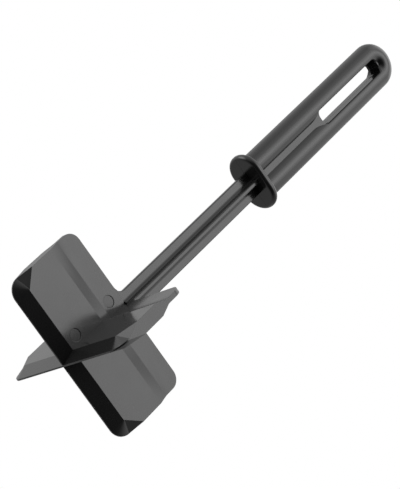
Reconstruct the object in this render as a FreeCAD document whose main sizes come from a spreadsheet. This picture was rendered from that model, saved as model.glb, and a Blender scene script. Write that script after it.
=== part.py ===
import FreeCAD, Part
import Sketcher
import math
import os

# Meat masher with four crossing blades: one nylon moulding, split into its named members.
# +Z is up the tool, X runs along the wide blade and -Y is the front. The origin is the
# middle of the blade cross on the worktop. All sizes are in millimetres.

DIMENSIONS = [
    # alias, size in mm, what it is
    ("BladeSpan", 86.0, "tip to tip across the blade cross, both ways"),
    ("BladeTall", 45.6, "worktop to the top edge of the blades"),
    ("BladeThick", 6.6, "lower, heavy part of a blade"),
    ("BladeThin", 2.3, "upper, light part of a blade"),
    ("EdgeFlat", 0.8, "flat left along the cutting edge"),
    ("BevelTall", 6.9, "height of the bevel above the cutting edge"),
    ("RampStart", 28.3, "height where a blade begins to thin"),
    ("RampEnd", 34.6, "height where the thinning ends"),
    ("LowerCorner", 7.3, "corner radius at the cutting edge"),
    ("UpperCorner", 5.8, "corner radius at the top edge"),
    ("FacetTop", 15.2, "height where the corner facet runs out"),
    ("PinMark", 5.8, "diameter of an ejector pin mark"),
    ("PinDepth", 0.25, "depth of an ejector pin mark"),
    ("PinSide", 7.2, "pin marks to the middle of the tool"),
    ("PinLow", 12.6, "height of the lower pin mark"),
    ("PinHigh", 38.8, "height of the upper pin mark"),
    ("StemWide", 12.6, "width of the stem's flange"),
    ("StemDeep", 10.8, "depth over the stem's two ribs"),
    ("FlangeThick", 2.3, "thickness of the stem's flange"),
    ("RibRoot", 2.6, "thickness of a rib where it leaves the flange"),
    ("RibTip", 2.1, "thickness of a rib at its outer edge"),
    ("RibFillet", 0.5, "fillet where a rib rises from the flange"),
    ("FootRadius", 4.2, "sweep from the blades' top edge into the stem"),
    ("GuardBase", 147.8, "height of the guard's underside"),
    ("GuardThick", 4.0, "thickness of the finger guard"),
    ("GuardLong", 30.2, "guard from side to side"),
    ("GuardWide", 19.6, "guard from front to back"),
    ("GuardRound", 1.8, "rounding of the guard's rim"),
    ("LobeRadius", 6.0, "radius of each of the handle's two lobes"),
    ("WebThick", 8.0, "web between the two lobes"),
    ("HandleEnd", 272.3, "worktop to the end of the handle"),
    ("SlotWide", 7.8, "width of the hanging slot"),
    ("SlotLong", 53.8, "length of the hanging slot"),
    ("SlotCorner", 3.2, "corner radius of the hanging slot"),
    ("SlotRim", 0.9, "rounding of the slot's rim"),
    ("FanLong", 8.5, "stretch below the slot where the groove widens to the slot's width"),
]
CLEAR = 2.0  # how far a cutting profile reaches outside the material
NEAR = 0.01  # how closely an edge must lie to the place where it is looked for


class Size:
    """A length that knows its millimetres and the sheet formula that gives them."""

    def __init__(self, mm, formula):
        self.mm = mm
        self.formula = formula

    def __add__(self, other):
        other = as_size(other)
        return Size(self.mm + other.mm, f"({self.formula} + {other.formula})")

    def __sub__(self, other):
        other = as_size(other)
        return Size(self.mm - other.mm, f"({self.formula} - {other.formula})")

    def __mul__(self, other):
        other = as_size(other)
        return Size(self.mm * other.mm, f"({self.formula} * {other.formula})")

    def __truediv__(self, other):
        other = as_size(other)
        return Size(self.mm / other.mm, f"({self.formula} / {other.formula})")

    def __neg__(self):
        return Size(-self.mm, f"(0 - {self.formula})")


def as_size(number):
    return number if isinstance(number, Size) else Size(number, repr(number))


def root(size):
    return Size(math.sqrt(size.mm), f"sqrt({size.formula})")


def sized(name):
    """The driving dimension of that name."""
    mm = next(size for alias, size, note in DIMENSIONS if alias == name)
    return Size(mm, f"Dimensions.{name}")


NOTHING = as_size(0)

halfSpan = sized("BladeSpan") / 2
halfThick = sized("BladeThick") / 2
halfThin = sized("BladeThin") / 2
halfFlat = sized("EdgeFlat") / 2
guardTop = sized("GuardBase") + sized("GuardThick")
halfWeb = sized("WebThick") / 2
halfSlot = sized("SlotWide") / 2
lobe = sized("LobeRadius")
# the height where the lobes start to bend round into each other, which is the slot's upper end
slotHigh = sized("HandleEnd") - lobe * 2
slotLow = slotHigh - sized("SlotLong")
fanStart = slotLow - sized("FanLong")
# where a lobe's round side meets the flat floor of the groove
grooveEdge = lobe - root(lobe * lobe - halfWeb * halfWeb)


def make_sheet(doc):
    sheet = doc.addObject("Spreadsheet::Sheet", "Dimensions")
    for row, (alias, size, note) in enumerate(DIMENSIONS, start=1):
        sheet.set(f"A{row}", note)
        sheet.set(f"B{row}", str(size))
        sheet.setAlias(f"B{row}", alias)
    doc.recompute()


def make_body(doc, label):
    body = doc.addObject("PartDesign::Body", label)
    body.Label = label
    return body


def make_sketch(body, name, role, offset=NOTHING):
    """A sketch on one of the body's own planes, moved along that plane's normal."""
    plane = next(item for item in body.Origin.OriginFeatures if item.Role == role)
    sketch = body.newObject("Sketcher::SketchObject", name)
    sketch.AttachmentSupport = [(plane, "")]
    sketch.MapMode = "FlatFace"
    sketch.setExpression("AttachmentOffset.Base.z", offset.formula)
    return sketch


def pin_point(sketch, geometry, end, x, y):
    """Hold one end of a line or arc at its place from the sketch's origin."""
    for kind, axis, size in (("DistanceX", -2, x), ("DistanceY", -1, y)):
        if size is NOTHING:
            sketch.addConstraint(Sketcher.Constraint("PointOnObject", geometry, end, axis))
            continue
        number = sketch.addConstraint(Sketcher.Constraint(kind, -1, 1, geometry, end, size.mm))
        sketch.setExpression(f"Constraints[{number}]", size.formula)


def arc_between(start, end, centre, turn):
    """An arc from start to end, anticlockwise where turn is 1 and clockwise where it is -1."""
    first, last = (start, end) if turn > 0 else (end, start)
    angles = [math.atan2(point.y - centre.y, point.x - centre.x) for point in (first, last)]
    circle = Part.Circle(centre, FreeCAD.Vector(0, 0, 1), (start - centre).Length)
    return Part.ArcOfCircle(circle, angles[0], angles[1])


def draw(sketch, corners, bends=None, closed=True):
    """Lines through the corners, with an arc after each corner that bends names.

    A bend is the arc's centre, as a pair of sizes, and its turn.
    """
    bends = bends or {}
    points = [FreeCAD.Vector(x.mm, y.mm, 0) for x, y in corners]
    count = len(points) if closed else len(points) - 1
    ends = []
    for index in range(count):
        start, end = points[index], points[(index + 1) % len(points)]
        if index in bends:
            (x, y), turn = bends[index]
            centre = FreeCAD.Vector(x.mm, y.mm, 0)
            geometry = sketch.addGeometry(arc_between(start, end, centre, turn))
            ends.append((geometry, 1, 2) if turn > 0 else (geometry, 2, 1))
        else:
            geometry = sketch.addGeometry(Part.LineSegment(start, end))
            ends.append((geometry, 1, 2))
    for index, (geometry, first, last) in enumerate(ends):
        pin_point(sketch, geometry, first, *corners[index])
        if closed or index + 1 < count:
            following = ends[(index + 1) % count]
            joint = Sketcher.Constraint("Coincident", geometry, last, following[0], following[1])
            sketch.addConstraint(joint)
        else:
            pin_point(sketch, geometry, last, *corners[index + 1])
    for index, ((x, y), turn) in bends.items():
        hold_centre(sketch, ends[index][0], points[index], points[(index + 1) % len(points)], x, y)


def hold_centre(sketch, arc, start, end, x, y):
    """Both ends of the arc are held, so one coordinate of its centre settles it."""
    chord = end - start
    kind, size = ("DistanceX", x) if abs(chord.y) > abs(chord.x) else ("DistanceY", y)
    number = sketch.addConstraint(Sketcher.Constraint(kind, -1, 1, arc, 3, size.mm))
    sketch.setExpression(f"Constraints[{number}]", size.formula)


def make_pad(body, name, sketch, length, both_ways=False):
    pad = body.newObject("PartDesign::Pad", name)
    pad.Profile = sketch
    if both_ways:
        pad.SideType = "Symmetric"
    pad.setExpression("Length", length.formula)
    return pad


def make_pocket(body, name, sketch, depth=None, backwards=False, both_ways=False):
    """A pocket to a depth, or right through where no depth is given."""
    pocket = body.newObject("PartDesign::Pocket", name)
    pocket.Profile = sketch
    if depth is None:
        pocket.Type = "ThroughAll"
    else:
        pocket.setExpression("Length", depth.formula)
    if both_ways:
        pocket.SideType = "Symmetric"
    pocket.Reversed = backwards
    return pocket


def make_mirror(body, name, features, role):
    plane = next(item for item in body.Origin.OriginFeatures if item.Role == role)
    mirror = body.newObject("PartDesign::Mirrored", name)
    mirror.Originals = features
    mirror.MirrorPlane = (plane, [""])
    body.Tip = mirror
    return mirror


def round_edges(body, name, base, radius, chosen):
    """Fillet the edges of the base for which the test `chosen` is true."""
    body.Document.recompute()
    names = [f"Edge{number}" for number, edge in enumerate(base.Shape.Edges, start=1) if chosen(edge)]
    fillet = body.newObject("PartDesign::Fillet", name)
    fillet.Base = (base, names)
    fillet.setExpression("Radius", radius.formula)
    return fillet


def edge_along_y(x, z):
    """A test for an edge that runs front to back at the given place."""
    def test(edge):
        box = edge.BoundBox
        flat = box.XLength < NEAR and box.ZLength < NEAR
        return flat and abs(box.XMin - x.mm) < NEAR and abs(box.ZMin - z.mm) < NEAR
    return test


def upright_edge(x, y):
    """A test for an edge straight up the tool at the given place, on either side of each plane."""
    def test(edge):
        box = edge.BoundBox
        upright = box.XLength < NEAR and box.YLength < NEAR
        return upright and abs(abs(box.XMin) - x.mm) < NEAR and abs(abs(box.YMin) - y.mm) < NEAR
    return test


def blade_section():
    """Half-thicknesses of a blade from the bevel's root up, as (across, up) on one side."""
    return [
        (halfThick, sized("RampStart")),
        (halfThin, sized("RampEnd")),
        (halfThin, sized("BladeTall")),
    ]


def make_blade(doc, label, turn):
    """One blade, modelled along +X from the hub out and turned about Z into its place."""
    body = make_body(doc, label)
    side = blade_section()
    corners = [(-halfThick, NOTHING), (halfThick, NOTHING)] + side
    corners += [(-across, up) for across, up in reversed(side)]
    section = make_sketch(body, "Section", "YZ_Plane", halfThick)
    draw(section, corners)
    plate = make_pad(body, "Plate", section, halfSpan - halfThick)
    lower = round_edges(body, "LowerCorner", plate, sized("LowerCorner"), edge_along_y(halfSpan, NOTHING))
    upper_edge = edge_along_y(halfSpan, sized("BladeTall"))
    round_edges(body, "UpperCorner", lower, sized("UpperCorner"), upper_edge)

    bevel = make_bevel(body)
    facet = make_facet(body)
    make_mirror(body, "OtherSide", [bevel, facet], "XZ_Plane")
    body.Placement = FreeCAD.Placement(FreeCAD.Vector(), FreeCAD.Rotation(FreeCAD.Vector(0, 0, 1), turn))
    return body


def make_bevel(body):
    """The bevel of one side, swept along the cutting edge and round its corner."""
    profile = make_sketch(body, "BevelProfile", "YZ_Plane", halfThick)
    outside = -halfThick - CLEAR
    draw(profile, [
        (-halfFlat, -as_size(CLEAR)),
        (-halfFlat, NOTHING),
        (-halfThick, sized("BevelTall")),
        (outside, sized("BevelTall")),
        (outside, -as_size(CLEAR)),
    ])
    spine = make_sketch(body, "CuttingEdge", "XZ_Plane")
    corner = sized("LowerCorner")
    path = [(halfThick, NOTHING), (halfSpan - corner, NOTHING), (halfSpan, corner)]
    draw(spine, path, {1: ((halfSpan - corner, corner), 1)}, closed=False)
    bevel = body.newObject("PartDesign::SubtractivePipe", "Bevel")
    bevel.Profile = profile
    bevel.Spine = (spine, [])
    return bevel


def make_facet(body):
    """The flat facet above the rounded corner, which runs out up the blade's end.

    It is cut by a three-sided spike whose long side lies on the facet.
    """
    slope = (halfThick - halfFlat) / sized("BevelTall")
    tipX = halfSpan + CLEAR
    tipY = -halfThick - CLEAR
    start = halfSpan - sized("BevelTall")
    base = make_sketch(body, "FacetBase", "XY_Plane", sized("LowerCorner"))
    draw(base, [
        (start - as_size(CLEAR) / slope, tipY),
        (tipX, tipY),
        (tipX, slope * CLEAR - halfFlat),
    ])
    rise = (sized("FacetTop") - sized("LowerCorner")) / sized("BevelTall")
    reach = sized("BevelTall") + CLEAR + as_size(CLEAR) / slope
    tip = make_sketch(body, "FacetTip", "XY_Plane", sized("LowerCorner") + rise * reach)
    tip.addGeometry(Part.Point(FreeCAD.Vector(tipX.mm, tipY.mm, 0)))
    pin_point(tip, 0, 1, tipX, tipY)
    facet = body.newObject("PartDesign::SubtractiveLoft", "Facet")
    facet.Profile = base
    facet.Sections = [(tip, ["Vertex1"])]
    facet.Ruled = True
    return facet


def add_pin_marks(body):
    """The two ejector pin marks on the blade's front, which is its +Y side before it is turned."""
    for name, height, face in (
        ("LowMark", sized("PinLow"), halfThick),
        ("HighMark", sized("PinHigh"), halfThin),
    ):
        sketch = make_sketch(body, name, "XZ_Plane", -face)
        centre = FreeCAD.Vector(sized("PinSide").mm, height.mm, 0)
        circle = Part.Circle(centre, FreeCAD.Vector(0, 0, 1), sized("PinMark").mm / 2)
        sketch.addGeometry(circle)
        pin_point(sketch, 0, 3, sized("PinSide"), height)
        number = sketch.addConstraint(Sketcher.Constraint("Diameter", 0, sized("PinMark").mm))
        sketch.setExpression(f"Constraints[{number}]", sized("PinMark").formula)
        make_pocket(body, name + "Pocket", sketch, sized("PinDepth"), backwards=True)


def make_hub(doc):
    """The crossing of the two blades, where their bevels meet in mitres."""
    body = make_body(doc, "blade_hub")
    side = [(halfFlat, NOTHING), (halfThick, sized("BevelTall"))] + blade_section()
    corners = side + [(-across, up) for across, up in reversed(side)]
    for name, role in (("Wide", "YZ_Plane"), ("Cross", "XZ_Plane")):
        sketch = make_sketch(body, name + "Section", role)
        draw(sketch, corners)
        make_pad(body, name, sketch, sized("BladeThick"), both_ways=True)
    return body


def make_stem(doc):
    """The cross-shaped stem, with a flat flange, tapered ribs and a swept foot."""
    body = make_body(doc, "stem")
    across = sized("StemWide") / 2
    flange = sized("FlangeThick") / 2
    ribRoot = sized("RibRoot") / 2
    ribTip = sized("RibTip") / 2
    deep = sized("StemDeep") / 2
    foot = sized("BladeTall")
    quarter = [(across, flange), (ribRoot, flange), (ribTip, deep)]
    corners = quarter + [(-x, y) for x, y in reversed(quarter)]
    corners += [(-x, -y) for x, y in quarter] + [(x, -y) for x, y in reversed(quarter)]
    section = make_sketch(body, "Section", "XY_Plane", foot)
    draw(section, corners)
    shaft = make_pad(body, "Shaft", section, sized("GuardBase") - foot)
    round_edges(body, "RibRoots", shaft, sized("RibFillet"), upright_edge(ribRoot, flange))

    sweep = sized("FootRadius")
    for name, role, edge, thick in (
        ("FlangeFoot", "XZ_Plane", across, sized("FlangeThick")),
        ("RibFoot", "YZ_Plane", deep, sized("RibTip")),
    ):
        sketch = make_sketch(body, name, role)
        for way in (1, -1):
            near, far = edge * way, (edge + sweep) * way
            corners = [(near, foot), (far, foot), (near, foot + sweep)]
            draw(sketch, corners, {1: ((far, foot + sweep), -way)})
        make_pad(body, name + "Pad", sketch, thick, both_ways=True)
    return body


def make_guard(doc):
    """The oval finger guard with its soft rim."""
    body = make_body(doc, "finger_guard")
    end = sized("GuardWide") / 2
    straight = sized("GuardLong") / 2 - end
    sketch = make_sketch(body, "Oval", "XY_Plane", sized("GuardBase"))
    corners = [(straight, -end), (straight, end), (-straight, end), (-straight, -end)]
    draw(sketch, corners, {0: ((straight, NOTHING), 1), 2: ((-straight, NOTHING), 1)})
    plate = make_pad(body, "Plate", sketch, sized("GuardThick"))
    round_edges(body, "Rim", plate, sized("GuardRound"), lambda edge: edge.BoundBox.ZLength < NEAR)
    return body


def make_handle(doc):
    """Two round lobes with a web between them, which run on round the slot to a round end."""
    body = make_body(doc, "handle")
    section = make_sketch(body, "Section", "XY_Plane", guardTop)
    left, right = (-lobe, NOTHING), (lobe, NOTHING)
    draw(section, [
        (grooveEdge, -halfWeb),
        (grooveEdge, halfWeb),
        (-grooveEdge, halfWeb),
        (-grooveEdge, -halfWeb),
    ], {0: (right, 1), 2: (left, 1)})
    make_pad(body, "Lobes", section, slotHigh - guardTop)

    half = make_sketch(body, "EndProfile", "XY_Plane", slotHigh)
    draw(half, [
        (NOTHING, -halfWeb),
        (grooveEdge, -halfWeb),
        (grooveEdge, halfWeb),
        (NOTHING, halfWeb),
    ], {1: (right, 1)})
    end = body.newObject("PartDesign::Revolution", "RoundEnd")
    end.Profile = half
    end.ReferenceAxis = (half, ["V_Axis"])
    end.Angle = 180
    end.Reversed = True

    fan = make_fan(body)
    make_mirror(body, "RearFan", [fan], "XZ_Plane")
    slot = make_slot(body)
    body.Tip = round_edges(body, "SlotRim", slot, sized("SlotRim"), slot_rim_edge)
    return body


def make_fan(body):
    """The groove's floor widening to the full width of the slot, on the front."""
    sketch = make_sketch(body, "FanOutline", "XZ_Plane", halfWeb)
    top = slotLow + sized("SlotCorner")
    drift = halfSlot - grooveEdge
    rise = sized("FanLong")
    bend = (drift * drift + rise * rise) / (drift * 2)
    corners = [
        (grooveEdge, fanStart),
        (halfSlot, slotLow),
        (halfSlot, top),
        (-halfSlot, top),
        (-halfSlot, slotLow),
        (-grooveEdge, fanStart),
    ]
    bends = {0: ((grooveEdge + bend, fanStart), -1), 4: ((-grooveEdge - bend, fanStart), -1)}
    draw(sketch, corners, bends)
    return make_pocket(body, "Fan", sketch, lobe, backwards=True)


def make_slot(body):
    """The hanging slot, straight at both ends with rounded corners."""
    sketch = make_sketch(body, "SlotOutline", "XZ_Plane")
    corner = sized("SlotCorner")
    inner = halfSlot - corner
    low, high = slotLow, slotHigh
    corners = [
        (inner, low), (halfSlot, low + corner),
        (halfSlot, high - corner), (inner, high),
        (-inner, high), (-halfSlot, high - corner),
        (-halfSlot, low + corner), (-inner, low),
    ]
    bends = {
        0: ((inner, low + corner), 1),
        2: ((inner, high - corner), 1),
        4: ((-inner, high - corner), 1),
        6: ((-inner, low + corner), 1),
    }
    draw(sketch, corners, bends)
    return make_pocket(body, "Slot", sketch, both_ways=True)


def slot_rim_edge(edge):
    """An edge of the slot's mouth above its lower corners, or of the groove's end beyond it."""
    box = edge.BoundBox
    inside = max(abs(box.XMin), abs(box.XMax)) < halfSlot.mm + NEAR
    one_side = min(abs(box.YMin), abs(box.YMax)) > halfWeb.mm - NEAR and box.YMin * box.YMax > 0
    lowest = slotHigh.mm - sized("SlotCorner").mm - NEAR
    highest = slotHigh.mm + grooveEdge.mm + NEAR
    return inside and one_side and lowest < box.ZMax < highest


def check_and_write(doc, members):
    """Stop at any failed object or solid, then write one file for each member."""
    faults = [item.Name for item in doc.Objects if {"Invalid", "Error"} & set(item.State)]
    if faults:
        raise RuntimeError(f"objects that failed: {faults}")
    for member in members:
        shape = member.Shape
        if shape.isNull() or not shape.isValid() or len(shape.Solids) != 1:
            raise RuntimeError(f"{member.Label} is not one valid solid")
    for member in members:
        shape = member.Shape
        box = shape.BoundBox
        print(f"{member.Label}: {shape.Volume:.0f} mm3, z {box.ZMin:.1f} to {box.ZMax:.1f}")
        shape.exportStep(f"parts/{member.Label}.step")


def main():
    os.makedirs("parts", exist_ok=True)
    doc = FreeCAD.newDocument("MeatMasher")
    make_sheet(doc)
    members = [
        make_blade(doc, "wide_blade_right", 0),
        make_blade(doc, "cross_blade_rear", 90),
        make_blade(doc, "wide_blade_left", 180),
        make_blade(doc, "cross_blade_front", 270),
    ]
    add_pin_marks(members[2])
    members += [make_hub(doc), make_stem(doc), make_guard(doc), make_handle(doc)]
    doc.recompute()
    check_and_write(doc, members)


main()
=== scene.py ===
import bpy, bmesh, math
from mathutils import Matrix, Vector


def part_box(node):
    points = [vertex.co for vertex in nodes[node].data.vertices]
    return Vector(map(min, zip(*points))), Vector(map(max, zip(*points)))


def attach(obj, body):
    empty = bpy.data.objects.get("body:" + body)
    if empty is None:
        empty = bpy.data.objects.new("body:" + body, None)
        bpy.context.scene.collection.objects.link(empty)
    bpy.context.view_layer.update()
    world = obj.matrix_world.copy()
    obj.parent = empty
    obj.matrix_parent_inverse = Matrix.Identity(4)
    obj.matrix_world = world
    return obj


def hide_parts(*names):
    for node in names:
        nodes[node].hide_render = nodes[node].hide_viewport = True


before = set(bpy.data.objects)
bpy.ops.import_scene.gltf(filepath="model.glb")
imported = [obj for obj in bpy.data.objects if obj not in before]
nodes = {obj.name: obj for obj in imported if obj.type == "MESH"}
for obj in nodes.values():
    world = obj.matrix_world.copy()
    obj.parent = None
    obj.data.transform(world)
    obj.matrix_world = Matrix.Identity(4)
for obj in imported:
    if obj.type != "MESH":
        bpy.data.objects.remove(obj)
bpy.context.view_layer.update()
mm = 0.001

# places read from the frame, which the pieces and their finishes share
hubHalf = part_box("blade_hub")[1][0]
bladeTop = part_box("blade_hub")[1][2]
stemLow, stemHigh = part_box("stem")
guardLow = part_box("finger_guard")[0]
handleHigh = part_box("handle")[1]
print("frame loaded:", len(nodes), "members, overall length", round(handleHigh[2] / mm, 1), "mm")


# camera at the photograph's viewing angle, from below and in front

photoCamera = {
    "place": (-0.18667, -0.69121, -0.44430),
    "right": (0.55948, -0.60281, 0.56886),
    "down": (0.8014, 0.21829, -0.55686),
    "forward": (0.2115, 0.76745, 0.60522),
    "lens": 141.88,
    "sensor": 36,
}


def addCamera():
    cam = bpy.data.objects.new("photoCamera", bpy.data.cameras.new("photoCamera"))
    bpy.context.scene.collection.objects.link(cam)
    cam.data.lens = photoCamera["lens"]
    cam.data.sensor_width = photoCamera["sensor"]
    right = Vector(photoCamera["right"])
    up = -Vector(photoCamera["down"])
    back = -Vector(photoCamera["forward"])
    turn = Matrix((right, up, back)).transposed()
    cam.matrix_world = Matrix.Translation(photoCamera["place"]) @ turn.to_4x4()
    bpy.context.scene.camera = cam


addCamera()
print("camera placed")


# soft edges: a mould leaves no edge sharp, so the members with straight edges get a small round

softEdges = {
    "round": 0.28 * mm,
    "cuttingRound": 0.2 * mm,
    "cuttingBelow": 1.2 * mm,   # edges lower than this belong to the cutting edge
    "steps": 3,
    "sharperThan": 24,          # degrees between two faces
    "weld": 0.001 * mm,
    "flatWithin": 0.3,          # degrees, for joining the triangles of a flat face
    "near": 0.02 * mm,
    "crease": 12,               # degrees: bevels, ramps and facets stay crisp where they meet
    "endCrease": 55,            # degrees: a round stays crisp where it stops at a member's end face
}


def selectEdges(piece, wanted):
    mesh = bmesh.from_edit_mesh(piece.data)
    mesh.select_mode = {"EDGE"}
    for face in mesh.faces:
        face.select = False
    for edge in mesh.edges:
        edge.select = False
    mesh.normal_update()
    sharp = math.radians(softEdges["sharperThan"])
    count = 0
    for edge in mesh.edges:
        if not edge.is_manifold or not edge.is_convex or edge.calc_face_angle() < sharp:
            continue
        if wanted(edge.verts[0].co, edge.verts[1].co):
            edge.select = True
            count += 1
    mesh.select_flush_mode()
    bmesh.update_edit_mesh(piece.data)
    return count


def softenedMember(nodeName, pieceName, rounds, crease=softEdges["crease"], steps=softEdges["steps"],
                   shape=None, clamp=True):
    # rounds holds pairs: a test for an edge, and the size of its round
    # shape, where given, changes the copy before the rounds are cut
    bpy.ops.object.select_all(action="DESELECT")
    piece = bpy.data.objects.new(pieceName, nodes[nodeName].data.copy())
    bpy.context.scene.collection.objects.link(piece)
    bpy.context.view_layer.objects.active = piece
    piece.select_set(True)
    bpy.ops.object.mode_set(mode="EDIT")
    bpy.ops.mesh.select_mode(type="VERT")
    bpy.ops.mesh.select_all(action="SELECT")
    bpy.ops.mesh.customdata_custom_splitnormals_clear()
    bpy.ops.mesh.remove_doubles(threshold=softEdges["weld"])
    bpy.ops.mesh.dissolve_limited(angle_limit=math.radians(softEdges["flatWithin"]))
    if shape:
        shape(piece)
    found = 0
    for wanted, size in rounds:
        count = selectEdges(piece, wanted)
        if count:
            bpy.ops.mesh.bevel(offset=size, segments=steps, profile=0.5, affect="EDGES",
                               clamp_overlap=clamp)
            markRounds(piece)
        found += count
    bpy.ops.mesh.select_all(action="SELECT")
    bpy.ops.mesh.remove_doubles(threshold=softEdges["weld"])
    bpy.ops.mesh.faces_shade_smooth()
    selectCreases(piece, math.radians(crease))
    bpy.ops.mesh.mark_sharp()
    bpy.ops.object.mode_set(mode="OBJECT")
    bpy.ops.object.modifier_add(type="WEIGHTED_NORMAL")
    piece.modifiers[-1].weight = 100
    piece.modifiers[-1].keep_sharp = True
    bpy.ops.object.modifier_apply(modifier=piece.modifiers[-1].name)
    piece.data.materials.clear()
    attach(piece, "root")
    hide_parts(nodeName)
    print(pieceName, "softened on", found, "edges,", len(piece.data.polygons), "faces")
    return piece


def markRounds(piece):    # the finish reads softRim to tell a rounded edge from the faces beside it
    mesh = bmesh.from_edit_mesh(piece.data)
    layer = mesh.faces.layers.float.get("softRim") or mesh.faces.layers.float.new("softRim")
    for face in mesh.faces:
        if face.select:
            face[layer] = 1.0
    bmesh.update_edit_mesh(piece.data)


def selectCreases(piece, angle):    # edges shaded sharp: beside a round only those at a member's end face
    mesh = bmesh.from_edit_mesh(piece.data)
    mesh.select_mode = {"EDGE"}
    mesh.normal_update()
    layer = mesh.faces.layers.float.get("softRim")
    for face in mesh.faces:
        face.select = False
    for edge in mesh.edges:
        rounded = layer is not None and any(face[layer] > 0.5 for face in edge.link_faces)
        least = math.radians(softEdges["endCrease"]) if rounded else angle
        edge.select = edge.is_manifold and edge.calc_face_angle() > least
    mesh.select_flush_mode()
    bmesh.update_edit_mesh(piece.data)


def onPlane(value, place):
    return abs(value - place) < softEdges["near"]


# the four blades: their outline edges are rounded, the faces where they leave the hub are not

blades = {
    "wide_blade_left": ("wideBladeLeft", 0),
    "wide_blade_right": ("wideBladeRight", 0),
    "cross_blade_front": ("crossBladeFront", 1),
    "cross_blade_rear": ("crossBladeRear", 1),
}
footReach = max(stemHigh[0], -stemLow[0])    # how far the stem's flange foot runs out on the wide blade


def bladeEdges(along):
    def atHub(point):
        return abs(point[along]) < hubHalf + softEdges["near"]

    def underFoot(point):
        onTop = along == 0 and onPlane(point[2], bladeTop)
        return onTop and abs(point[along]) < footReach + softEdges["near"]

    def cutting(point):
        return point[2] < softEdges["cuttingBelow"]

    def outline(a, b):
        if (atHub(a) and atHub(b)) or (underFoot(a) and underFoot(b)):
            return False
        return not (cutting(a) and cutting(b))

    def cuttingEdge(a, b):
        return cutting(a) and cutting(b) and not (atHub(a) and atHub(b))

    return [(outline, softEdges["round"]), (cuttingEdge, softEdges["cuttingRound"])]


bladePieces = {}
for nodeName, (pieceName, along) in blades.items():
    bladePieces[nodeName] = softenedMember(nodeName, pieceName, bladeEdges(along))


# the crossing: only the top edges beside the ribs' feet show

def crossingEdges(a, b):
    topEdge = onPlane(a[2], bladeTop) and onPlane(b[2], bladeTop)
    return topEdge and onPlane(a[0], b[0]) and abs(a[0]) < hubHalf / 2


crossing = softenedMember("blade_hub", "bladeCrossing", [(crossingEdges, softEdges["round"])])


# the stem: full rounds on flange and ribs, and wide fillets where the ribs rise from the flange

stem = {
    "flangeRound": 0.55 * mm,
    "ribRound": 0.6 * mm,
    "steps": 5,
    "crease": 35,                       # degrees: only the member's end faces stay crisp
    "ribEdge": (1.05 * mm, 5.4 * mm),   # a rib's outer corner, from the two planes of symmetry
    "corner": (1.3 * mm, 1.15 * mm),    # where a rib's side would meet the flange's face
    "cadFillet": 0.5 * mm,
    "fillet": 2.0 * mm,
    "besideFillet": 0.1 * mm,           # a fillet's points may lie this far outside its corner
    "footStart": 0.35 * mm,             # the rounds begin this far above the blades
    "flangeReach": 2 * mm,              # edges this near to the plane of symmetry are the flange's
    "ribReach": 4 * mm,                 # and edges beyond this are the ribs'
}


def widenFillets(piece):    # each fillet grows about the corner it fills and stays tangent to both faces
    cornerX, cornerY = stem["corner"]
    reach = stem["cadFillet"] + softEdges["near"]
    grow = stem["fillet"] / stem["cadFillet"]
    for side, face in ((1, 1), (1, -1), (-1, 1), (-1, -1)):
        mesh = bmesh.from_edit_mesh(piece.data)
        for vert in mesh.verts:
            outX = vert.co.x * side - cornerX
            outY = vert.co.y * face - cornerY
            vert.select = -stem["besideFillet"] < outX < reach and -softEdges["near"] < outY < reach
        mesh.select_flush(False)
        mesh.select_flush(True)
        bmesh.update_edit_mesh(piece.data)
        bpy.ops.transform.resize(value=(grow, grow, 1),
                                 center_override=(side * cornerX, face * cornerY, 0))


def joinRibFeet(piece):    # a rib's tapered side and its foot's straight side become one face
    def atCorner(point):
        return onPlane(abs(point[0]), stem["ribEdge"][0]) and onPlane(abs(point[1]), stem["ribEdge"][1])

    mesh = bmesh.from_edit_mesh(piece.data)
    mesh.select_mode = {"EDGE"}
    for face in mesh.faces:
        face.select = False
    for edge in mesh.edges:
        a, b = edge.verts[0].co, edge.verts[1].co
        edge.select = atCorner(a) and atCorner(b) and max(a[2], b[2]) < guardLow[2] / 2
    mesh.select_flush_mode()
    bmesh.update_edit_mesh(piece.data)
    bpy.ops.mesh.dissolve_edges(use_verts=False)
    bpy.ops.mesh.select_mode(type="VERT")


def shapeStem(piece):
    joinRibFeet(piece)
    widenFillets(piece)


def stemEdge(a, b):
    low, high = min(a[2], b[2]), max(a[2], b[2])
    return low > bladeTop + stem["footStart"] and high - low > softEdges["near"]


def flangeEdges(a, b):
    return stemEdge(a, b) and max(abs(a[1]), abs(b[1])) < stem["flangeReach"]


def ribEdges(a, b):
    return stemEdge(a, b) and min(abs(a[1]), abs(b[1])) > stem["ribReach"]


crossStem = softenedMember("stem", "crossStem", [
    (flangeEdges, stem["flangeRound"]),
    (ribEdges, stem["ribRound"]),
], crease=stem["crease"], steps=stem["steps"], shape=shapeStem, clamp=False)


# finishes: one black nylon with a fine moulded grain, and what each member shows of its own

def newGroup(name, inputs, outputs):
    group = bpy.data.node_groups.new(name, "ShaderNodeTree")
    for label, kind, value in inputs:
        socket = group.interface.new_socket(name=label, in_out="INPUT", socket_type=kind)
        socket.default_value = value
    for label, kind in outputs:
        group.interface.new_socket(name=label, in_out="OUTPUT", socket_type=kind)
    return group, group.nodes.new("NodeGroupInput"), group.nodes.new("NodeGroupOutput")


def addMath(tree, operation, first, second=0.5):
    node = tree.nodes.new("ShaderNodeMath")
    node.operation = operation
    for socket, value in zip(node.inputs, (first, second)):
        if isinstance(value, (int, float)):
            socket.default_value = value
        else:
            tree.links.new(value, socket)
    return node.outputs[0]


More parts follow.
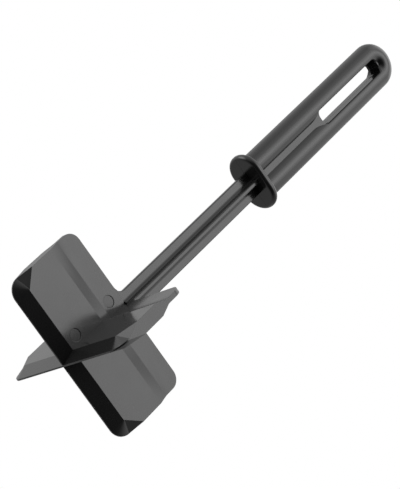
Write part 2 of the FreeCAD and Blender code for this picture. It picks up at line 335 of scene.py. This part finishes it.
def addRange(tree, value, low, high, toLow=0.0, toHigh=1.0, smooth=True):
    node = tree.nodes.new("ShaderNodeMapRange")
    node.interpolation_type = "SMOOTHSTEP" if smooth else "LINEAR"
    for label, setting in (("Value", value), ("From Min", low), ("From Max", high),
                           ("To Min", toLow), ("To Max", toHigh)):
        if isinstance(setting, (int, float)):
            node.inputs[label].default_value = setting
        else:
            tree.links.new(setting, node.inputs[label])
    return node.outputs["Result"]


def addNoise(tree, vector, scale, detail, rough=0.55):
    node = tree.nodes.new("ShaderNodeTexNoise")
    node.inputs["Detail"].default_value = detail
    node.inputs["Roughness"].default_value = rough
    if isinstance(scale, (int, float)):
        node.inputs["Scale"].default_value = scale
    else:
        tree.links.new(scale, node.inputs["Scale"])
    tree.links.new(vector, node.inputs["Vector"])
    return node.outputs["Fac"]


def buildMouldGrain():    # fine texture of the mould's wall and the slow waviness of a moulded skin
    group, given, made = newGroup("mouldGrain",
                                  [("Vector", "NodeSocketVector", (0, 0, 0)),
                                   ("Fine Scale", "NodeSocketFloat", 2600.0),
                                   ("Slow Scale", "NodeSocketFloat", 90.0),
                                   ("Slow Share", "NodeSocketFloat", 0.5)],
                                  [("Height", "NodeSocketFloat"), ("Cloud", "NodeSocketFloat")])
    fine = addNoise(group, given.outputs["Vector"], given.outputs["Fine Scale"], 3)
    slow = addNoise(group, given.outputs["Vector"], given.outputs["Slow Scale"], 2)
    waves = addMath(group, "MULTIPLY", slow, given.outputs["Slow Share"])
    group.links.new(addMath(group, "ADD", fine, waves), made.inputs["Height"])
    group.links.new(addRange(group, slow, 0.3, 0.7), made.inputs["Cloud"])
    return group


rubs = {"turn": (0.4, 0.5, 0.3), "stretch": (1500, 1500, 60), "lineBand": (0.64, 0.72),
        "patchScale": 55.0, "patchBand": (0.5, 0.68)}


def buildRubMarks():    # short faint rubs from a drawer and from washing
    group, given, made = newGroup("rubMarks",
                                  [("Vector", "NodeSocketVector", (0, 0, 0)),
                                   ("Amount", "NodeSocketFloat", 0.4)],
                                  [("Mask", "NodeSocketFloat")])
    stretch = group.nodes.new("ShaderNodeMapping")
    stretch.inputs["Rotation"].default_value = rubs["turn"]
    stretch.inputs["Scale"].default_value = rubs["stretch"]
    group.links.new(given.outputs["Vector"], stretch.inputs["Vector"])
    lines = addNoise(group, stretch.outputs["Vector"], 1.0, 2)
    patches = addNoise(group, given.outputs["Vector"], rubs["patchScale"], 2)
    thin = addRange(group, lines, *rubs["lineBand"])
    where = addRange(group, patches, *rubs["patchBand"])
    both = addMath(group, "MULTIPLY", thin, where)
    group.links.new(addMath(group, "MULTIPLY", both, given.outputs["Amount"]), made.inputs["Mask"])
    return group


def buildPartingLine():    # the thin seam where the two halves of the mould met, on the plane Y = 0
    group, given, made = newGroup("partingLine",
                                  [("Vector", "NodeSocketVector", (0, 0, 0)),
                                   ("Half Width", "NodeSocketFloat", 0.00032)],
                                  [("Mask", "NodeSocketFloat")])
    split = group.nodes.new("ShaderNodeSeparateXYZ")
    group.links.new(given.outputs["Vector"], split.inputs["Vector"])
    away = addMath(group, "ABSOLUTE", split.outputs["Y"])
    group.links.new(addRange(group, away, given.outputs["Half Width"], 0.0), made.inputs["Mask"])
    return group


mouldGrain = buildMouldGrain()
rubMarks = buildRubMarks()
partingLine = buildPartingLine()

nylon = {
    "ior": 1.52,
    "colour": (0.0135, 0.0135, 0.0135),
    "worn": (0.030, 0.030, 0.030),
    "roughness": (0.15, 0.19),
    "rubbedRoughness": 0.28,
    "edgeWearScale": 130.0,
    "edgeWear": (0.35, 0.7, 0.15, 0.6),     # part of the noise that shows, and the least and most wear
    "grainDepth": 0.0035 * mm,
    "seamDepth": 0.02 * mm,
    # the seam's darker colour is painted shade; its raised line and rougher finish are real
    "seamShadeColour": (0.003, 0.003, 0.003),
    "seamRoughness": 0.55,
}


def nylonFinish(name, rim=False, seam=False, marks=(), slot=False):
    mat = bpy.data.materials.new(name)
    mat.use_nodes = True
    tree = mat.node_tree
    tree.nodes.clear()
    out = tree.nodes.new("ShaderNodeOutputMaterial")
    shader = tree.nodes.new("ShaderNodeBsdfPrincipled")
    shader.inputs["IOR"].default_value = nylon["ior"]
    tree.links.new(shader.outputs[0], out.inputs[0])
    place = tree.nodes.new("ShaderNodeTexCoord").outputs["Object"]

    grain = addGroup(tree, mouldGrain, place)
    worn = addGroup(tree, rubMarks, place).outputs["Mask"]
    if rim:
        edge = tree.nodes.new("ShaderNodeAttribute")
        edge.attribute_name = "softRim"
        patchy = addRange(tree, addNoise(tree, place, nylon["edgeWearScale"], 2), *nylon["edgeWear"])
        worn = addMath(tree, "MAXIMUM", worn, addMath(tree, "MULTIPLY", edge.outputs["Fac"], patchy))
    roughness = addRange(tree, grain.outputs["Cloud"], 0, 1, *nylon["roughness"], smooth=False)
    matt = mixValue(tree, worn, roughness, nylon["rubbedRoughness"])

    tone = mixColour(tree, worn, nylon["colour"], nylon["worn"])
    lean = wallLean(tree, place) if slot else None
    bump = addBump(tree, grain.outputs["Height"], nylon["grainDepth"], lean)
    if seam:
        line = addGroup(tree, partingLine, place).outputs["Mask"]
        # painted shade: the seam's line is coloured darker than the nylon around it
        tone = mixColour(tree, line, tone, nylon["seamShadeColour"])
        bump = addBump(tree, line, nylon["seamDepth"], bump)
        matt = mixValue(tree, line, matt, nylon["seamRoughness"])
    for centre in marks:
        ring, disc = pinMasks(tree, place, centre)
        # painted shade: the ring of the pin's gap is coloured darker, as its shade would darken it
        tone = mixColour(tree, ring, tone, pinMarks["colour"])
        bump = addBump(tree, ring, -pinMarks["grooveDepth"], bump)
        matt = mixValue(tree, disc, matt, pinMarks["roughness"])
    tree.links.new(matt, shader.inputs["Roughness"])
    tree.links.new(tone, shader.inputs["Base Color"])
    tree.links.new(bump, shader.inputs["Normal"])
    return mat


def addGroup(tree, group, vector):
    node = tree.nodes.new("ShaderNodeGroup")
    node.node_tree = group
    tree.links.new(vector, node.inputs["Vector"])
    return node


def mixValue(tree, mask, first, second):
    node = tree.nodes.new("ShaderNodeMix")
    tree.links.new(mask, node.inputs[0])
    tree.links.new(first, node.inputs[2])
    node.inputs[3].default_value = second
    return node.outputs[0]


def mixColour(tree, mask, first, second):
    node = tree.nodes.new("ShaderNodeMix")
    node.data_type = "RGBA"
    tree.links.new(mask, node.inputs["Factor"])
    for label, value in (("A", first), ("B", second)):
        socket = next(s for s in node.inputs if s.name == label and s.type == "RGBA")
        if isinstance(value, tuple):
            socket.default_value = (*value, 1)
        else:
            tree.links.new(value, socket)
    return next(s for s in node.outputs if s.type == "RGBA")


def addBump(tree, height, depth, under=None):
    node = tree.nodes.new("ShaderNodeBump")
    node.invert = depth < 0
    node.inputs["Distance"].default_value = abs(depth)
    tree.links.new(height, node.inputs["Height"])
    if under is not None:
        tree.links.new(under, node.inputs["Normal"])
    return node.outputs["Normal"]


# ejector pin marks on the left blade's front: a duller disc inside the fine gap that the pin's edge leaves;
# the gap gets a shallow groove and painted shade, a ring coloured darker than the nylon

# colour is painted shade for the ring of each pin's gap
pinMarks = {"side": 7.2 * mm, "heights": (12.6 * mm, 38.8 * mm), "radius": 2.9 * mm, "ring": 0.2 * mm,
            "front": (-0.5 * mm, -0.9 * mm), "colour": (0.009, 0.009, 0.009), "grooveDepth": 0.025 * mm,
            "roughness": 0.26}


def pinMasks(tree, place, centre):
    split = tree.nodes.new("ShaderNodeSeparateXYZ")
    tree.links.new(place, split.inputs["Vector"])
    across = addMath(tree, "SUBTRACT", split.outputs["X"], centre[0])
    up = addMath(tree, "SUBTRACT", split.outputs["Z"], centre[1])
    acrossSquared = addMath(tree, "MULTIPLY", across, across)
    upSquared = addMath(tree, "MULTIPLY", up, up)
    fromCentre = addMath(tree, "SQRT", addMath(tree, "ADD", acrossSquared, upSquared))
    away = addMath(tree, "SUBTRACT", fromCentre, pinMarks["radius"])
    front = addRange(tree, split.outputs["Y"], *pinMarks["front"])
    ring = addRange(tree, addMath(tree, "ABSOLUTE", away), pinMarks["ring"], 0.0)
    disc = addRange(tree, away, 0.0, -pinMarks["ring"])
    return addMath(tree, "MULTIPLY", ring, front), addMath(tree, "MULTIPLY", disc, front)


# the walls inside the handle's slot: the shading of the sides leans a little away from the parting line, as a
# draft would, and that of the upper end leans far to the front, only to be as dark as in the photograph

slotWalls = {
    "halfWidth": 4.1 * mm,
    "low": handleHigh[2] - 66 * mm,
    "high": handleHigh[2] - 12 * mm,
    "rim": 1.2 * mm,
    "facing": (0.75, 0.25),         # how far a wall's normal may point to the front or back
    "seamHalf": 0.1 * mm,
    "sideLean": 0.10,
    "endReach": 3.4 * mm,
    "endFades": (1 * mm, 4 * mm),   # from the middle to the back the end's lean runs out
    "endLean": 0.45,
}


def wallLean(tree, place):    # the surface's own normal, turned on the walls inside the slot
    split = tree.nodes.new("ShaderNodeSeparateXYZ")
    tree.links.new(place, split.inputs["Vector"])
    side, depth, height = split.outputs
    own = tree.nodes.new("ShaderNodeTexCoord").outputs["Normal"]
    facing = tree.nodes.new("ShaderNodeSeparateXYZ")
    tree.links.new(own, facing.inputs["Vector"])
    low, high = slotWalls["low"], slotWalls["high"]
    wall = addRange(tree, addMath(tree, "ABSOLUTE", facing.outputs["Y"]), *slotWalls["facing"])
    inside = addMath(tree, "LESS_THAN", addMath(tree, "ABSOLUTE", side), slotWalls["halfWidth"])
    below = addMath(tree, "LESS_THAN", height, high + slotWalls["rim"])
    above = addMath(tree, "GREATER_THAN", height, low)
    for mask in (inside, below, above):
        wall = addMath(tree, "MULTIPLY", wall, mask)

    seam, most = slotWalls["seamHalf"], slotWalls["sideLean"]
    sideLean = addRange(tree, depth, -seam, seam, -most, most)
    endLean = addRange(tree, depth, *slotWalls["endFades"], -slotWalls["endLean"], 0.0)
    atEnd = addRange(tree, height, high - slotWalls["endReach"], high)
    sideLean = addMath(tree, "MULTIPLY", sideLean, addMath(tree, "SUBTRACT", 1.0, atEnd))
    lean = addMath(tree, "ADD", sideLean, addMath(tree, "MULTIPLY", endLean, atEnd))
    turn = tree.nodes.new("ShaderNodeCombineXYZ")
    tree.links.new(addMath(tree, "MULTIPLY", wall, lean), turn.inputs["Y"])
    total = tree.nodes.new("ShaderNodeVectorMath")
    tree.links.new(tree.nodes.new("ShaderNodeNewGeometry").outputs["Normal"], total.inputs[0])
    tree.links.new(turn.outputs[0], total.inputs[1])
    unit = tree.nodes.new("ShaderNodeVectorMath")
    unit.operation = "NORMALIZE"
    tree.links.new(total.outputs[0], unit.inputs[0])
    return unit.outputs[0]


bladeFinish = nylonFinish("bladeNylon", rim=True)
markedFinish = nylonFinish("markedBladeNylon", rim=True,
                           marks=[(-pinMarks["side"], height) for height in pinMarks["heights"]])
stemFinish = nylonFinish("stemNylon", rim=True)
guardFinish = nylonFinish("guardNylon", seam=True)
handleFinish = nylonFinish("handleNylon", seam=True, slot=True)

for nodeName, piece in bladePieces.items():
    piece.data.materials.append(markedFinish if nodeName == "wide_blade_left" else bladeFinish)
crossing.data.materials.append(bladeFinish)
crossStem.data.materials.append(stemFinish)
for nodeName, finish in (("finger_guard", guardFinish), ("handle", handleFinish)):
    for slot in nodes[nodeName].material_slots:
        slot.material = finish
print("finishes set")


# plain soft studio: pale soft cards, most of the light from above the front and from the left

studio = {
    "ambient": 0.023,
    "cards": [
        # bearing from the front, height, reach of the full part and of the soft edge, in degrees; level
        (0, 35, 0, 25, 1.02),
        (20, 35, 0, 25, 0.97),
        (20, 50, 10, 60, 1.29),
        (-100, 20, 20, 85, 0.80),
        (-100, 0, 0, 25, 1.75),
        (-100, -25, 0, 25, 2.30),
        (-180, -25, 20, 85, 0.45),
        (100, 0, 10, 60, 0.39),
        (120, 70, 5, 40, 0.93),
    ],
}


def addCard(tree, looking, bearing, height, full, soft, level):
    bearing, height = math.radians(bearing), math.radians(height)
    facing = tree.nodes.new("ShaderNodeVectorMath")
    facing.operation = "DOT_PRODUCT"
    facing.inputs[1].default_value = (math.sin(bearing) * math.cos(height),
                                      -math.cos(bearing) * math.cos(height), math.sin(height))
    tree.links.new(looking, facing.inputs[0])
    edge, core = math.cos(math.radians(soft)), math.cos(math.radians(full))
    return addRange(tree, facing.outputs["Value"], edge, core, 0.0, level)


def addStudio():    # white where the camera looks past the object, the soft cards for all other light
    world = bpy.data.worlds.new("softStudio")
    bpy.context.scene.world = world
    world.use_nodes = True
    tree = world.node_tree
    tree.nodes.clear()
    out = tree.nodes.new("ShaderNodeOutputWorld")
    backdrop = tree.nodes.new("ShaderNodeBackground")
    backdrop.inputs["Color"].default_value = (1, 1, 1, 1)
    room = tree.nodes.new("ShaderNodeBackground")
    looking = tree.nodes.new("ShaderNodeTexCoord").outputs["Generated"]
    total = studio["ambient"]
    for card in studio["cards"]:
        total = addMath(tree, "ADD", addCard(tree, looking, *card), total)
    tree.links.new(total, room.inputs["Color"])
    path = tree.nodes.new("ShaderNodeLightPath")
    mix = tree.nodes.new("ShaderNodeMixShader")
    tree.links.new(path.outputs["Is Camera Ray"], mix.inputs["Fac"])
    tree.links.new(room.outputs[0], mix.inputs[1])
    tree.links.new(backdrop.outputs[0], mix.inputs[2])
    tree.links.new(mix.outputs[0], out.inputs[0])


addStudio()
print("studio lit")


# the worktop: seen from above with the object's shadow, clear from below where the camera stands

worktop = {"size": 12.0, "colour": (0.84, 0.84, 0.83), "roughness": 0.8}


def addWorktop():
    bpy.ops.object.select_all(action="DESELECT")
    bpy.ops.mesh.primitive_plane_add(size=worktop["size"])
    floor = bpy.context.object
    floor.name = "worktop"
    mat = bpy.data.materials.new("paleWorktop")
    mat.use_nodes = True
    tree = mat.node_tree
    tree.nodes.clear()
    out = tree.nodes.new("ShaderNodeOutputMaterial")
    shader = tree.nodes.new("ShaderNodeBsdfPrincipled")
    shader.inputs["Base Color"].default_value = (*worktop["colour"], 1)
    shader.inputs["Roughness"].default_value = worktop["roughness"]
    clear = tree.nodes.new("ShaderNodeBsdfTransparent")
    side = tree.nodes.new("ShaderNodeNewGeometry")
    mix = tree.nodes.new("ShaderNodeMixShader")
    tree.links.new(side.outputs["Backfacing"], mix.inputs["Fac"])
    tree.links.new(shader.outputs[0], mix.inputs[1])
    tree.links.new(clear.outputs[0], mix.inputs[2])
    tree.links.new(mix.outputs[0], out.inputs[0])
    floor.data.materials.append(mat)
    floor.visible_shadow = False
    floor.visible_diffuse = False
    floor.visible_glossy = False


addWorktop()
print("worktop laid")

bpy.context.scene.view_settings.view_transform = "Standard"
